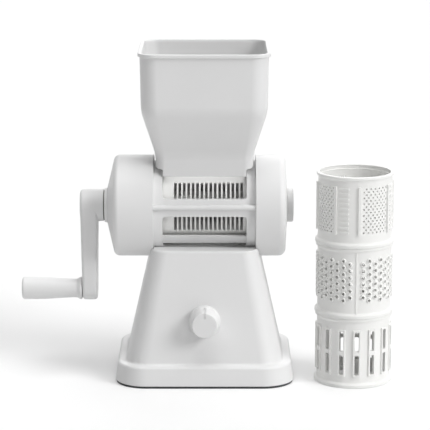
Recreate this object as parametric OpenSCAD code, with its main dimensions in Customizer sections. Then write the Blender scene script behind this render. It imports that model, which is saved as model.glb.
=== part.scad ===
// Hand-cranked rotary vegetable slicer on a suction stand, with three spare drums.
// Sizes are millimetres. +X points to the drum end, -Y to the front and +Z up.
// The origin is the middle of the suction pad's underside, on the worktop.

/* [Stand] */
// Width of the plinth at its underside
plinth_w = 168; // [160:1:180]
// Depth of the plinth at its underside
plinth_d = 140; // [134:1:156]
// Height of the plinth
plinth_h = 18; // [16:0.5:24]
// Corner radius of the plinth
plinth_r = 30; // [24:1:36]
// Inset of the plinth's top edge from its underside
plinth_draft = 2; // [1:0.5:4]
// Height of the plinth's underside above the worktop
foot_gap = 2; // [1:0.5:3]
// Width of the ledge round the foot of the tower
ledge_w = 8.7; // [6:0.1:12]
// Width of the tower's flat top
tower_top_w = 101; // [99:1:108]
// Depth of the tower's flat top
tower_top_d = 92; // [86:1:100]
// Corner radius at the foot of the tower
tower_foot_r = 22; // [16:1:26]
// Corner radius at the top of the tower
tower_top_r = 16; // [12:1:20]
// Distance from the drum axis down to the tower's top
tower_drop = 35; // [33:0.5:37]
// Wall of the moulded stand
stand_wall = 3; // [2.5:0.1:3.5]

/* [Drum housing] */
// Height of the drum axis above the worktop
axis_z = 161; // [156:1:176]
// Length of the cage that shows between the two end covers
cage_len = 96; // [94:1:104]
// Wall of the cage
cage_wall = 4; // [3.5:0.1:5]
// Running gap between a drum's flange and the cage
drum_gap = 1.7; // [1.2:0.1:2.5]
// Step from the cage out to the end covers
cap_step = 5.5; // [5.2:0.1:7]
// Wall of the end covers
cap_wall = 2.8; // [2.2:0.1:3]
// Overlap of each end cover on the cage
spigot_len = 10; // [8:0.5:12]
// Length of the window openings
window_len = 78.6; // [74:0.2:82]
// Height of the window band's lower edge above the axis
band_low = -2.8; // [-5:0.2:-1]
// Height of the window band's upper edge above the axis
band_high = 13.4; // [12:0.2:15]
// Height of the lower window's sill below the axis
sill_drop = 34.8; // [32:0.2:35]
// Corner radius of the windows
window_r = 3; // [1:0.5:4]
// Straight length of the drive cover
cover_len = 32.4; // [30:0.2:38]
// Rounding between the drive cover's side and its cone
cover_round = 5.5; // [3:0.5:8]
// Slope of the drive cover's cone
cover_slope = 13.5; // [8:0.5:20]
// Radius of the bearing boss on the drive cover
cover_boss_r = 16.7; // [14:0.1:18]
// Length of the bearing boss on the drive cover
cover_boss_len = 2.6; // [2:0.2:6]
// Length of the end cap
end_cap_len = 30; // [28:0.5:32]
// Rounding of the end cap's edge
end_cap_round = 6.5; // [4:0.5:9]
// Radius of the end cap's boss
end_boss_r = 15.9; // [13:0.1:18]
// Length of the end cap's boss
end_boss_len = 6; // [5:0.2:7]

/* [Drums] */
// Length of a drum
drum_len = 66.7; // [64:0.1:68]
// Outer radius of a drum's wall
drum_r = 34.4; // [33:0.1:37]
// Wall of a drum
drum_wall = 2; // [1.6:0.1:2.4]
// Step from a drum's wall out to its flange
flange_step = 2.4; // [1.8:0.1:2.8]
// Step from a drum's wall out to its rim
rim_step = 1.6; // [1.2:0.1:2]
// Height of a drum's flange and of its rim
rim_h = 4; // [3:0.2:5]
// Radius of the drum shaft
shaft_r = 5; // [4.5:0.1:5.5]
// Slots in each row of the slicing drum
slicing_slots = 16; // [12:1:18]
// Width of a slot in the slicing drum
slicing_slot_w = 2.6; // [1.6:0.1:2.8]
// Pairs of slot rows round the slicing drum
slicing_pairs = 3; // [2:1:4]
// Length of a row of slots on the slicing drum
slicing_row = 64.7; // [56:0.1:68]
// Length of the slicing drum's plain collar round its hub
slicing_collar = 5; // [4.5:0.5:8]
// Length of the slicing drum's plain far end
slicing_tail = 3.5; // [1:0.5:4]
// Columns of slots round the wide slot drum
wide_columns = 15; // [11:1:17]
// Width of a slot in the wide slot drum
wide_slot_w = 4.2; // [3:0.1:5]
// Columns of holes round the coarse grating drum
coarse_columns = 36; // [24:2:36]
// Radius of a hole in the coarse grating drum
coarse_hole_r = 1.45; // [1:0.05:1.5]
// Height of the raised teeth round the coarse holes
coarse_tooth_h = 1.5; // [0.6:0.1:1.7]
// Radius of a hole in the fine grating drum
fine_hole_r = 0.8; // [0.6:0.05:0.9]
// Distance from the plinth's side to the spare drums
stack_gap = 19.7; // [19:0.1:40]

/* [Hopper] */
// Height of the hopper's neck above the drum axis
neck_top = 53.4; // [51:0.2:58]
// Height of the hopper's sloping part
hopper_slope_h = 43; // [36:1:52]
// Height of the hopper's upright part, rim included
hopper_body_h = 54.6; // [46:0.2:70]
// Width of the hopper's upright part
hopper_w = 117; // [108:1:126]
// Depth of the hopper's upright part
hopper_d = 116; // [104:1:126]
// Corner radius of the hopper's upright part
hopper_r = 16; // [12:1:20]
// Depth of the hopper's neck
neck_d = 58; // [54:1:62]
// Overlap of the hopper's neck on each end of the cage
neck_seat = 6; // [3:0.1:7]
// Corner radius of the hopper's neck
neck_r = 9; // [6:0.5:12]
// Wall of the hopper
hopper_wall = 2.4; // [2:0.1:3]
// Outward step of the hopper's rim
hopper_rim = 1.8; // [1:0.1:3]

/* [Crank] */
// Distance from the drum axis to the grip's axis
crank_radius = 81; // [70:1:88]
// Radius of the crank's hub
crank_hub_r = 15.2; // [13:0.1:17]
// Length of the crank's hub
crank_hub_len = 22.2; // [21:0.2:26]
// Radius of the crank arm's lower end
crank_end_r = 11; // [9:0.5:13]
// Thickness of the crank arm at the hub
arm_t = 16.4; // [14:0.2:18]
// Thickness of the crank arm at the grip
arm_end_t = 14.4; // [13:0.2:16]
// Length of the grip
grip_len = 57.4; // [50:0.2:75]
// Radius of the grip
grip_r = 10.7; // [9.5:0.1:13]
// Radius of the grip's pin
grip_pin_r = 4; // [3:0.1:5]

/* [Suction lock] */
// Gap between the foot ring and the suction pad
pad_gap = 2.5; // [1:0.5:14]
// Thickness of the suction pad
pad_h = 6; // [5:0.5:7]
// Height of the lock knob's axis above the worktop
knob_z = 61.5; // [56:0.5:68]
// Radius of the lock knob at its foot
knob_r = 14.9; // [13:0.1:16]
// Radius of the lock knob's front face
knob_face_r = 11.9; // [9:0.1:12.5]
// Length of the lock knob
knob_len = 17; // [14:0.5:22]
// Lift of the suction stem over a quarter turn
cam_lift = 4; // [2:0.5:5]
// Radius of the suction cam at rest
cam_r = 8.5; // [8:0.5:10]

/* [Hidden] */
$fn = 72;
eps = 0.5;
seat_gap = 0.3;
fit_gap = 0.2;
run_gap = 0.06;

body_white = "#e4e4e2";
drum_white = "#ebebe8";
steel_grey = "#b9bcc0";
rubber_grey = "#55585a";
bush_cream = "#d8d2c0";

// Stand levels and outlines
plinth_top = foot_gap + plinth_h;
tower_top = axis_z - tower_drop;
plinth_edge = 2.5;
tower_edge = 2;
tower_cove = 2.5;
tower_foot_w = plinth_w - 2 * (plinth_draft + ledge_w);
tower_foot_d = plinth_d - 2 * (plinth_draft + ledge_w);
plate_t = 3;
plate_top = pad_h + plate_t;
plate_gap = 0.5;
cavity_inset = stand_wall + plinth_draft;

// Radii of the drum housing, from the drum outwards
flange_r = drum_r + flange_step;
rim_r = drum_r + rim_step;
drum_bore_r = drum_r - drum_wall;
cage_bore_r = flange_r + drum_gap;
cage_r = cage_bore_r + cage_wall;
cap_r = cage_r + cap_step;
spigot_r = cap_r - cap_wall - fit_gap;
saddle_r = cage_r + seat_gap;
cap_clear_r = cap_r + 1.3 * seat_gap;
roof_z = axis_z - cap_clear_r - stand_wall;

// Stations along the drum axis
cage_end = cage_len / 2;
spigot_end = cage_end + spigot_len;
cover_shoulder = cage_end + cover_len;
cone_outer_r = cap_r - cover_round + cover_round * sin(cover_slope);
cone_start = cover_shoulder + cover_round * cos(cover_slope);
cone_end = cone_start + (cone_outer_r - cover_boss_r) * tan(cover_slope);
cover_end = cone_end + cover_boss_len;
washer_t = 0.8;
washer_gap = 0.1;
washer_inset = 1;
hub_face = cover_end + washer_t + 2 * washer_gap;
hub_end = hub_face + crank_hub_len;
cap_face = cage_end + end_cap_len;
end_cap_end = cap_face + end_boss_len;
bulkhead_t = 4;
bulkhead_face = cage_end - bulkhead_t;
bush_wall = 3;
bush_r = shaft_r + bush_wall;
bush_boss_wall = 3.5;
bush_boss_r = bush_r + bush_boss_wall;
bush_len = 18;
bush_back = 2;
cup_web_t = 3;
cup_gap = 2.6;
cup_face = bulkhead_face - cup_gap;
drum_inset = 14.4;
drum_start = cage_end - drum_inset;
shaft_over = 1;
shaft_end = cap_face + shaft_over;
shaft_socket = 2;
crank_socket = 5;
crank_socket_r = 6;
crank_screw_r = 2.5;
crank_screw_len = 12;
square_w = 7;
crank_head_h = 3.6;

// Foot ring, with the suction pad inside it
foot_inset = 1;
foot_w = 1.5 * stand_wall;
pad_r = min(plinth_w, plinth_d) / 2 - foot_inset - foot_w - pad_gap;

// Suction lock, along Y
boss_rim = 1.7;
boss_proud = 0.4;
boss_r = knob_r + boss_rim;
boss_face = front_y(knob_z - boss_r) - boss_proud;
boss_len = 15;
knob_back = boss_face - seat_gap;
knob_front = knob_back - knob_len;
knob_shaft_r = 5;
knob_bush_wall = 2.5;
knob_bush_r = knob_shaft_r + knob_bush_wall;
knob_web = 4;
cam_t = 10;
bracket_y = 14;
bracket_t = 9;
stem_r = 4;
yoke_t = 14;
yoke_bar = 5;
follower_gap = 0.5;
yoke_gap = 1.2;
yoke_half = cam_r + cam_lift + yoke_gap;
yoke_in_top = knob_z + cam_r + follower_gap;
yoke_in_low = knob_z - cam_r - 2 * cam_lift - yoke_gap;

// Crank and grip
arm_edge = 3;
arm_set_back = 0.3;
arm_face = hub_end - arm_set_back;
arm_end_face = arm_face - (arm_t - arm_end_t) / 2;
grip_z = axis_z - crank_radius;
grip_gap = 0.4;
grip_start = arm_end_face + grip_gap;
grip_end = grip_start + grip_len;
pin_head_step = 2;
pin_tail_step = 1;
pin_head_r = grip_pin_r + pin_head_step;
pin_tail_r = grip_pin_r - pin_tail_step;
plug_t = 3;
head_t = 3;
grip_pocket = 7;
pin_tail = 10;
pin_shoulder = arm_end_face + fit_gap;

// Hopper levels
neck_w = window_len + 2 * neck_seat;
neck_flare = 1.5;
hopper_neck_z = axis_z + neck_top;
hopper_break_z = hopper_neck_z + hopper_slope_h;
hopper_top_z = hopper_break_z + hopper_body_h;
hopper_rim_h = 3.4;
hopper_draft = 1.8;

// Spare drums stand beside the plinth, in line with its front edge
stack_x = plinth_w / 2 + stack_gap + flange_r;
stack_y = flange_r - plinth_d / 2;

// Y of the tower's front face at height z
function front_y(z) =
    let (share = (z - plinth_top) / (tower_top - plinth_top))
    -(tower_foot_d * (1 - share) + tower_top_d * share) / 2;

// Points of a rounded rectangle at height z
function ring(w, d, r, z, steps = 8) = [
    for (quarter = [0:3])
        for (i = [0:steps])
            let (
                a = 90 * (quarter + i / steps),
                side_x = quarter == 0 || quarter == 3 ? 1 : -1,
                side_y = quarter < 2 ? 1 : -1
            )
            [side_x * (w / 2 - r) + r * cos(a), side_y * (d / 2 - r) + r * sin(a), z]
];

// The same rounded rectangle drawn in by an inset all round
function inset_ring(w, d, r, inset, z) = ring(w - 2 * inset, d - 2 * inset, max(r - inset, 1), z);

// Closed solid through a list of rings with equal point counts
module loft(rings) {
    count = len(rings[0]);
    last = (len(rings) - 1) * count;
    sides = [
        for (k = [0:len(rings) - 2])
            for (i = [0:count - 1])
                let (j = (i + 1) % count, low = k * count, high = low + count)
                each [[low + i, high + i, high + j], [low + i, high + j, low + j]]
    ];
    bottom = [for (i = [0:count - 1]) i];
    top = [for (i = [count - 1:-1:0]) last + i];
    polyhedron([for (points = rings) each points], concat([bottom], sides, [top]));
}

// Places children with their Z axis along the drum axis, at station x
module on_axis(x = 0) {
    translate([x, 0, axis_z])
        rotate([0, 90, 0])
            children();
}

// Places children with their Z axis towards the back, on the knob's axis, at depth y
module on_knob(y) {
    translate([0, y, knob_z])
        rotate([-90, 0, 0])
            children();
}

// Places children with their Z axis along the drum axis, on the grip's axis, at station x
module on_grip(x) {
    translate([x, 0, grip_z])
        rotate([0, 90, 0])
            children();
}

// Flat rectangle with rounded corners
module rounded_rect(w, h, r) {
    square([w - 2 * r, h], center = true);
    square([w, h - 2 * r], center = true);
    for (x = [-1, 1])
        for (y = [-1, 1])
            translate([x * (w / 2 - r), y * (h / 2 - r)])
                circle(r);
}

// Straight cut from the front, between two heights, with rounded corners
module front_cut(w, z_low, z_high, r, y_front, y_back) {
    translate([0, y_back, (z_low + z_high) / 2])
        rotate([90, 0, 0])
            linear_extrude(y_back - y_front)
                rounded_rect(w, z_high - z_low, r);
}

// Tube on the local Z axis
module tube(outer, inner, length) {
    difference() {
        cylinder(r = outer, h = length);
        translate([0, 0, -eps])
            cylinder(r = inner, h = length + 2 * eps);
    }
}

// Pan-head screw pointing along +Z, with its head's bearing face at the origin
module screw(head_radius, head_height, shank_radius, length) {
    translate([0, 0, -head_height])
        cylinder(r = head_radius, h = head_height);
    cylinder(r = shank_radius, h = length);
}

// Stand

base_screw_r = 1.6;
base_boss_r = 4.2;
base_screw_inset = 11.5;
base_screw_x = plinth_w / 2 - cavity_inset - base_screw_inset;
base_screw_y = plinth_d / 2 - cavity_inset - base_screw_inset;
base_head_r = 3.2;
base_head_h = 2;
housing_screw_x = 30;
housing_boss_r = 6;
housing_boss_floor = roof_z + stand_wall;
housing_screw_r = 2;
housing_screw_len = 9;
housing_head_r = 4;
housing_head_h = 2.4;

// Flat outline of the plinth, drawn in by an inset
module plinth_outline(inset) {
    rounded_rect(plinth_w - 2 * inset, plinth_d - 2 * inset, plinth_r - inset);
}

module at_base_screws() {
    for (x = [-1, 1])
        for (y = [-1, 1])
            translate([x * base_screw_x, y * base_screw_y, 0])
                children();
}

module at_housing_screws() {
    for (x = [-1, 1])
        translate([x * housing_screw_x, 0, 0])
            children();
}

module stand_outside() {
    draft_w = plinth_w - 2 * plinth_draft;
    draft_d = plinth_d - 2 * plinth_draft;
    draft_r = plinth_r - plinth_draft;
    soft = 1 - cos(45);
    loft([
        ring(plinth_w, plinth_d, plinth_r, foot_gap),
        ring(draft_w, draft_d, draft_r, plinth_top - plinth_edge),
        inset_ring(draft_w, draft_d, draft_r, plinth_edge * soft, plinth_top - plinth_edge * soft),
        inset_ring(draft_w, draft_d, draft_r, plinth_edge, plinth_top),
        inset_ring(tower_foot_w, tower_foot_d, tower_foot_r, -tower_cove, plinth_top),
        inset_ring(tower_foot_w, tower_foot_d, tower_foot_r, 0, plinth_top + tower_cove),
        inset_ring(tower_top_w, tower_top_d, tower_top_r, 0, tower_top - tower_edge),
        inset_ring(tower_top_w, tower_top_d, tower_top_r, tower_edge * soft, tower_top - tower_edge * soft),
        inset_ring(tower_top_w, tower_top_d, tower_top_r, tower_edge, tower_top)
    ]);
}

module stand_inside() {
    ceiling = plinth_top - stand_wall;
    loft([
        inset_ring(plinth_w, plinth_d, plinth_r, stand_wall, foot_gap - eps),
        inset_ring(plinth_w, plinth_d, plinth_r, cavity_inset, ceiling),
        inset_ring(tower_foot_w, tower_foot_d, tower_foot_r, stand_wall, ceiling),
        inset_ring(tower_foot_w, tower_foot_d, tower_foot_r, stand_wall, plinth_top),
        inset_ring(tower_top_w, tower_top_d, tower_top_r, stand_wall, roof_z)
    ]);
}

module base_shell() {
    color(body_white)
        difference() {
            union() {
                difference() {
                    stand_outside();
                    stand_inside();
                }
                at_base_screws()
                    translate([0, 0, plate_top])
                        cylinder(r = base_boss_r, h = plinth_top - stand_wall / 2 - plate_top);
                on_knob(boss_face)
                    cylinder(r = boss_r, h = boss_len);
            }
            on_axis(-cage_end)
                cylinder(r = saddle_r, h = cage_len);
            for (side = [0, 1])
                mirror([side, 0, 0])
                    on_axis(cage_end - seat_gap)
                        cylinder(r = cap_clear_r, h = cage_len);
            on_knob(boss_face - eps)
                cylinder(r = knob_bush_r + run_gap, h = boss_len + 2 * eps);
            at_base_screws()
                cylinder(r = base_screw_r + run_gap, h = plinth_top - stand_wall);
            at_housing_screws() {
                translate([0, 0, housing_boss_floor])
                    cylinder(r = housing_boss_r + fit_gap, h = tower_drop);
                translate([0, 0, roof_z - eps])
                    cylinder(r = housing_screw_r + fit_gap, h = tower_drop);
            }
        }
}

guide_r = 9;
guide_top = yoke_in_low - yoke_bar - yoke_gap;

module base_plate() {
    inset = cavity_inset + plate_gap;
    color(body_white)
        difference() {
            union() {
                translate([0, 0, pad_h])
                    linear_extrude(plate_t)
                        plinth_outline(inset);
                translate([0, 0, pad_h])
                    cylinder(r = guide_r, h = guide_top - pad_h);
            }
            translate([0, 0, pad_h - eps])
                cylinder(r = stem_r + run_gap, h = guide_top);
            at_base_screws()
                cylinder(r = base_screw_r + fit_gap, h = plate_top + eps);
        }
}

module base_screws() {
    color(steel_grey)
        at_base_screws()
            translate([0, 0, pad_h])
                screw(base_head_r, base_head_h, base_screw_r, plinth_top - stand_wall - pad_h - 1);
}

// Rubber seal between the plinth's lower edge and the worktop
module foot_ring() {
    color(rubber_grey)
        linear_extrude(foot_gap)
            difference() {
                plinth_outline(foot_inset);
                plinth_outline(foot_inset + foot_w);
            }
}

// Rubber disc with a thin lip and a socket for the stem
module suction_pad() {
    lip_h = pad_h / 3;
    lip_w = 6;
    shoulder = pad_r - lip_w;
    slope_w = 4;
    socket = pad_h / 2;
    color(rubber_grey)
        rotate_extrude()
            polygon([[0, 0], [pad_r, 0], [pad_r, lip_h / 2], [shoulder, lip_h], [shoulder - slope_w, pad_h],
                [stem_r + run_gap, pad_h], [stem_r + run_gap, socket], [0, socket]]);
}

// Post that carries the inner end of the knob's shaft
module cam_bracket() {
    foot_t = 3;
    post_wall = 5;
    post_w = 2 * (knob_shaft_r + post_wall);
    foot_over = 10;
    color(body_white)
        difference() {
            union() {
                translate([-post_w, bracket_y, plate_top])
                    cube([2 * post_w, bracket_t + foot_over, foot_t]);
                translate([-post_w / 2, bracket_y, plate_top])
                    cube([post_w, bracket_t, knob_z - plate_top]);
                on_knob(bracket_y)
                    cylinder(r = post_w / 2, h = bracket_t);
            }
            on_knob(bracket_y - eps)
                cylinder(r = knob_shaft_r + run_gap, h = bracket_t + 2 * eps);
        }
}

module knob_bush() {
    color(bush_cream)
        on_knob(boss_face)
            tube(knob_bush_r, knob_shaft_r + run_gap, boss_len);
}

// Drum housing

// Turns profile points round the drum axis; a point is [radius, station]
module turned(points) {
    on_axis()
        rotate_extrude()
            polygon(points);
}

// Arc of profile points from angle a0 to a1 round [radius, station]
function arc(center_r, center_x, r, a0, a1, steps = 8) = [
    for (i = [0:steps])
        let (a = a0 + (a1 - a0) * i / steps)
        [center_r + r * cos(a), center_x + r * sin(a)]
];

cover_screw_circle = 28;
cover_screw_r = 1.7;
cover_screw_boss_r = 4.4;
cover_screw_len = 14;
cover_head_r = 3.4;
cover_head_h = 2;
rib_h = 4.4;
rib_proud = 3.6;
front_angle = 270;
tray_t = 2;
tray_top = -35;
tray_low = -51;

module at_cover_screws() {
    for (a = [90, 210, 330])
        on_axis()
            rotate([0, 0, a])
                translate([cover_screw_circle, 0, 0])
                    children();
}

module housing_cage() {
    rib_rise = 0.9;
    rib_z = axis_z + (band_low + band_high) / 2 + rib_rise;
    rib_y = -cage_r - rib_proud + rib_h / 2;
    boss_top = axis_z - cage_r + cage_wall / 2;
    color(body_white)
        difference() {
            union() {
                difference() {
                    union() {
                        on_axis(-spigot_end)
                            cylinder(r = cage_r, h = 2 * spigot_end);
                        for (side = [0, 1])
                            mirror([side, 0, 0])
                                on_axis(cage_end)
                                    cylinder(r = spigot_r, h = spigot_len);
                        translate([-cage_end, rib_y, rib_z - rib_h / 2])
                            cube([cage_len, cage_wall + rib_proud, rib_h]);
                        translate([-cage_end, rib_y, rib_z])
                            rotate([0, 90, 0])
                                cylinder(r = rib_h / 2, h = cage_len);
                        at_housing_screws()
                            translate([0, 0, housing_boss_floor])
                                cylinder(r = housing_boss_r, h = boss_top - housing_boss_floor);
                    }
                    on_axis(-spigot_end - eps)
                        cylinder(r = cage_bore_r, h = 2 * spigot_end + 2 * eps);
                    front_cut(window_len, axis_z + band_high, axis_z + 2 * cage_r, window_r,
                        -cage_r - rib_h, neck_d / 2 - hopper_wall);
                    front_cut(window_len, axis_z - sill_drop, axis_z + band_low, window_r,
                        -cage_r - rib_h, 0);
                }
                on_axis(-cage_end)
                    cylinder(r = cage_bore_r + cage_wall / 2, h = bulkhead_t);
                on_axis(-spigot_end)
                    cylinder(r = bush_boss_r, h = spigot_len + bulkhead_t);
                on_axis(-window_len / 2 - eps)
                    intersection() {
                        tube(cage_bore_r + tray_t, cage_bore_r, window_len + 2 * eps);
                        linear_extrude(window_len + 2 * eps)
                            fan([front_angle - tray_top], tray_top - tray_low);
                    }
            }
            on_axis(-spigot_end - eps)
                cylinder(r = bush_r + run_gap, h = spigot_len + bulkhead_t + 2 * eps);
            at_cover_screws()
                translate([0, 0, -cage_end - eps])
                    cylinder(r = cover_screw_r + fit_gap, h = bulkhead_t + 2 * eps);
            at_housing_screws()
                translate([0, 0, housing_boss_floor - eps])
                    cylinder(r = housing_screw_r + run_gap, h = housing_screw_len - stand_wall + 1 + eps);
        }
}

module housing_screws() {
    color(steel_grey)
        at_housing_screws()
            translate([0, 0, roof_z])
                screw(housing_head_r, housing_head_h, housing_screw_r, housing_screw_len);
}

// Cup that closes the crank side and carries the outer shaft bush
module drive_cover() {
    boss_edge = 0.6;
    inner_r = cap_r - cap_wall;
    inner_round = max(cover_round - cap_wall, 1);
    inner_cone_r = inner_r - inner_round + inner_round * sin(cover_slope);
    inner_cone_start = cover_shoulder + inner_round * cos(cover_slope);
    inner_cone_end = inner_cone_start + (inner_cone_r - bush_boss_r) * tan(cover_slope);
    boss_start = cone_start + (cone_outer_r - cover_screw_circle) * tan(cover_slope) - cap_wall / 2;
    color(body_white)
        difference() {
            union() {
                turned(concat(
                    [[inner_r, -cage_end], [cap_r, -cage_end]],
                    arc(cap_r - cover_round, -cover_shoulder, cover_round, 0, cover_slope - 90),
                    [[cover_boss_r, -cone_end], [cover_boss_r - boss_edge, -cover_end],
                        [shaft_r, -cover_end], [shaft_r, -cover_end + bush_len],
                        [bush_boss_r, -cover_end + bush_len], [bush_boss_r, -inner_cone_end]],
                    arc(inner_r - inner_round, -cover_shoulder, inner_round, cover_slope - 90, 0)
                ));
                at_cover_screws()
                    translate([0, 0, -boss_start])
                        cylinder(r = cover_screw_boss_r, h = boss_start - cage_end);
            }
            on_axis(-cover_end - eps)
                cylinder(r = bush_r + run_gap, h = bush_len + 2 * eps);
            at_cover_screws()
                translate([0, 0, -cage_end - cover_screw_len])
                    cylinder(r = cover_screw_r + run_gap, h = cover_screw_len + eps);
        }
}

module cover_screws() {
    color(steel_grey)
        at_cover_screws()
            translate([0, 0, -bulkhead_face])
                rotate([180, 0, 0])
                    screw(cover_head_r, cover_head_h, cover_screw_r, bulkhead_t + cover_screw_len - 2);
}

module inner_bush() {
    color(bush_cream)
        on_axis(-spigot_end)
            tube(bush_r, shaft_r + run_gap, spigot_len + bulkhead_t);
}

module outer_bush() {
    color(bush_cream)
        on_axis(-cover_end)
            tube(bush_r, shaft_r + run_gap, bush_len);
}

// Cap that pulls off the drum end
module end_cap() {
    dome = 1.6;
    boss_edge = 1;
    inner_r = cap_r - cap_wall;
    inner_face = cap_face - cap_wall;
    inner_round = max(end_cap_round - cap_wall, 1);
    pocket_r = shaft_r + seat_gap;
    bush_start = cap_face - bush_back - bush_len;
    color(body_white)
        difference() {
            turned(concat(
                [[pocket_r, end_cap_end - cap_wall], [0, end_cap_end - cap_wall], [0, end_cap_end],
                    [end_boss_r - boss_edge, end_cap_end], [end_boss_r, end_cap_end - boss_edge],
                    [end_boss_r, cap_face]],
                arc(cap_r - end_cap_round, cap_face - end_cap_round - dome, end_cap_round, 80, 0),
                [[cap_r, cage_end], [inner_r, cage_end]],
                arc(inner_r - inner_round, inner_face - inner_round - dome, inner_round, 0, 80),
                [[bush_boss_r, inner_face], [bush_boss_r, bush_start], [pocket_r, bush_start]]
            ));
            on_axis(bush_start - eps)
                cylinder(r = bush_r + run_gap, h = bush_len + eps);
        }
}

module end_cap_bush() {
    color(bush_cream)
        on_axis(cap_face - bush_back - bush_len)
            tube(bush_r, shaft_r + run_gap, bush_len);
}

// Crank and drum drive

module drive_shaft() {
    color(steel_grey)
        difference() {
            union() {
                on_axis(-hub_face - shaft_socket)
                    cylinder(r = shaft_r, h = hub_face + shaft_socket + shaft_end);
                on_axis(-hub_end + crank_socket)
                    translate([-square_w / 2, -square_w / 2, 0])
                        cube([square_w, square_w, crank_hub_len]);
            }
            on_axis(-hub_end)
                cylinder(r = crank_screw_r + run_gap, h = crank_socket + crank_screw_len + 2);
            translate([-cup_pin_x, 0, axis_z - cage_r])
                cylinder(r = cup_pin_r + run_gap, h = 2 * cage_r);
        }
}

module thrust_washer() {
    color(steel_grey)
        on_axis(-cover_end - washer_gap - washer_t)
            tube(crank_hub_r - washer_inset, shaft_r + run_gap, washer_t);
}

// Rounded disc of radius r, from z 0 to thickness t, with edges of radius edge
module puck(r, t, edge) {
    rotate_extrude($fn = 40)
        polygon(concat(
            [[0, 0]],
            [for (i = [0:4]) [r - edge + edge * sin(i * 22.5), edge - edge * cos(i * 22.5)]],
            [for (i = [0:4]) [r - edge + edge * cos(i * 22.5), t - edge + edge * sin(i * 22.5)]],
            [[0, t]]
        ));
}

module crank_arm() {
    color(body_white)
        difference() {
            union() {
                hull() {
                    on_axis(-arm_face)
                        puck(crank_hub_r, arm_t, arm_edge);
                    on_grip(-arm_end_face)
                        puck(crank_end_r, arm_end_t, arm_edge);
                }
                on_axis(-hub_end)
                    rotate_extrude()
                        polygon(concat(
                            [[0, 0]],
                            [for (i = [0:6]) [crank_hub_r - arm_edge + arm_edge * sin(i * 15),
                                arm_edge - arm_edge * cos(i * 15)]],
                            [[crank_hub_r, crank_hub_len], [0, crank_hub_len]]
                        ));
            }
            on_axis(-hub_end - eps)
                cylinder(r = crank_socket_r, h = crank_socket + eps);
            on_axis(-hub_end)
                translate([-square_w / 2 - run_gap, -square_w / 2 - run_gap, 0])
                    cube([square_w + 2 * run_gap, square_w + 2 * run_gap, crank_hub_len]);
            on_axis(-hub_face - shaft_socket - fit_gap)
                cylinder(r = shaft_r + run_gap, h = crank_hub_len);
            on_grip(-arm_end_face - eps)
                cylinder(r = pin_tail_r + run_gap, h = pin_tail + 2 * eps);
        }
}

module crank_screw() {
    color(steel_grey)
        on_axis(-hub_end + crank_socket)
            screw(crank_socket_r - 2 * seat_gap, crank_head_h, crank_screw_r, crank_screw_len);
}

cup_pin_r = 1.25;
cup_hub_r = 10;
cup_r = drum_r;
cup_end = drum_start;
cup_pin_x = (cup_face - cup_web_t + cup_end) / 2;
dog_reach = 3;
dog_start = cup_hub_r + 4;
dog_len = 9;
dog_w = 8;

// Driver that fills the blank band beside the drum; its dogs sit between the drum's spokes
module drive_cup() {
    color(drum_white)
        difference() {
            union() {
                on_axis(-cup_face)
                    cylinder(r = cup_r, h = cup_web_t);
                on_axis(-cup_face)
                    tube(cup_r, cup_r - drum_wall, cup_face - cup_end);
                on_axis(-bulkhead_face + seat_gap)
                    cylinder(r = cup_hub_r, h = bulkhead_face - seat_gap - cup_end);
                for (a = [45:90:315])
                    on_axis(-cup_face)
                        rotate([0, 0, a])
                            translate([dog_start, -dog_w / 2, 0])
                                cube([dog_len, dog_w, cup_face - cup_end + dog_reach]);
            }
            on_axis(-cage_end)
                cylinder(r = shaft_r + run_gap, h = cage_len);
            translate([-cup_pin_x, 0, axis_z - cage_r])
                cylinder(r = cup_pin_r + run_gap, h = 2 * cage_r);
        }
}

module drive_pin() {
    color(steel_grey)
        translate([-cup_pin_x, 0, axis_z - cup_hub_r])
            cylinder(r = cup_pin_r, h = 2 * cup_hub_r);
}

// Drums, each on the Z axis with its flange at the bottom

hub_ring_h = 4;
press_gap = 0.05;
hub_wall = 3.5;
hub_r = shaft_r + hub_wall;
hub_len = 20;
rim_recess = 0.8;
rim_depth = 3.6;
rim_edge = 0.6;
ledge_h = 1.5;
ledge_step = 1.2;

module drum_blank() {
    cove = 3;
    rim_low = drum_len - rim_h + rim_step;
    ledge_top = hub_ring_h + ledge_h;
    ledge_r = drum_bore_r - ledge_step;
    recess_r = drum_bore_r + rim_recess;
    rotate_extrude()
        polygon(concat(
            [[drum_bore_r, 0], [flange_r - rim_edge, 0], [flange_r, rim_edge],
                [flange_r, rim_h - 1], [flange_r - 1, rim_h]],
            [for (i = [0:4])
                let (a = 22.5 * i)
                [drum_r + rim_step * (1 - sin(a)), rim_h + cove * (1 - cos(a)) / 2]],
            [for (i = [0:4])
                let (a = 22.5 * i)
                [drum_r + rim_step * (1 - cos(a)), rim_low - cove * (1 - sin(a))]],
            [[rim_r, drum_len - rim_edge], [rim_r - rim_edge, drum_len], [recess_r, drum_len],
                [recess_r, drum_len - rim_depth], [drum_bore_r, drum_len - rim_depth],
                [drum_bore_r, ledge_top], [ledge_r, ledge_top], [ledge_r, hub_ring_h],
                [drum_bore_r, hub_ring_h]]
        ));
}

// Four-armed hub pressed into the flange end
module drum_hub() {
    spoke_w = 5;
    hub_ring_w = 3.5;
    spoke_end = drum_bore_r - hub_ring_w / 2;
    color(drum_white)
        difference() {
            union() {
                tube(drum_bore_r - press_gap, drum_bore_r - hub_ring_w, hub_ring_h);
                cylinder(r = hub_r, h = hub_len);
                for (a = [0, 90])
                    rotate([0, 0, a])
                        translate([-spoke_end, -spoke_w / 2, 0])
                            cube([2 * spoke_end, spoke_w, hub_ring_h]);
            }
            translate([0, 0, -eps])
                cylinder(r = shaft_r + run_gap, h = hub_len + 2 * eps);
        }
}

module on_drum_seat() {
    on_axis(-drum_start)
        children();
}

module on_stack(level) {
    translate([stack_x, stack_y, level * drum_len])
        children();
}

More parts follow.
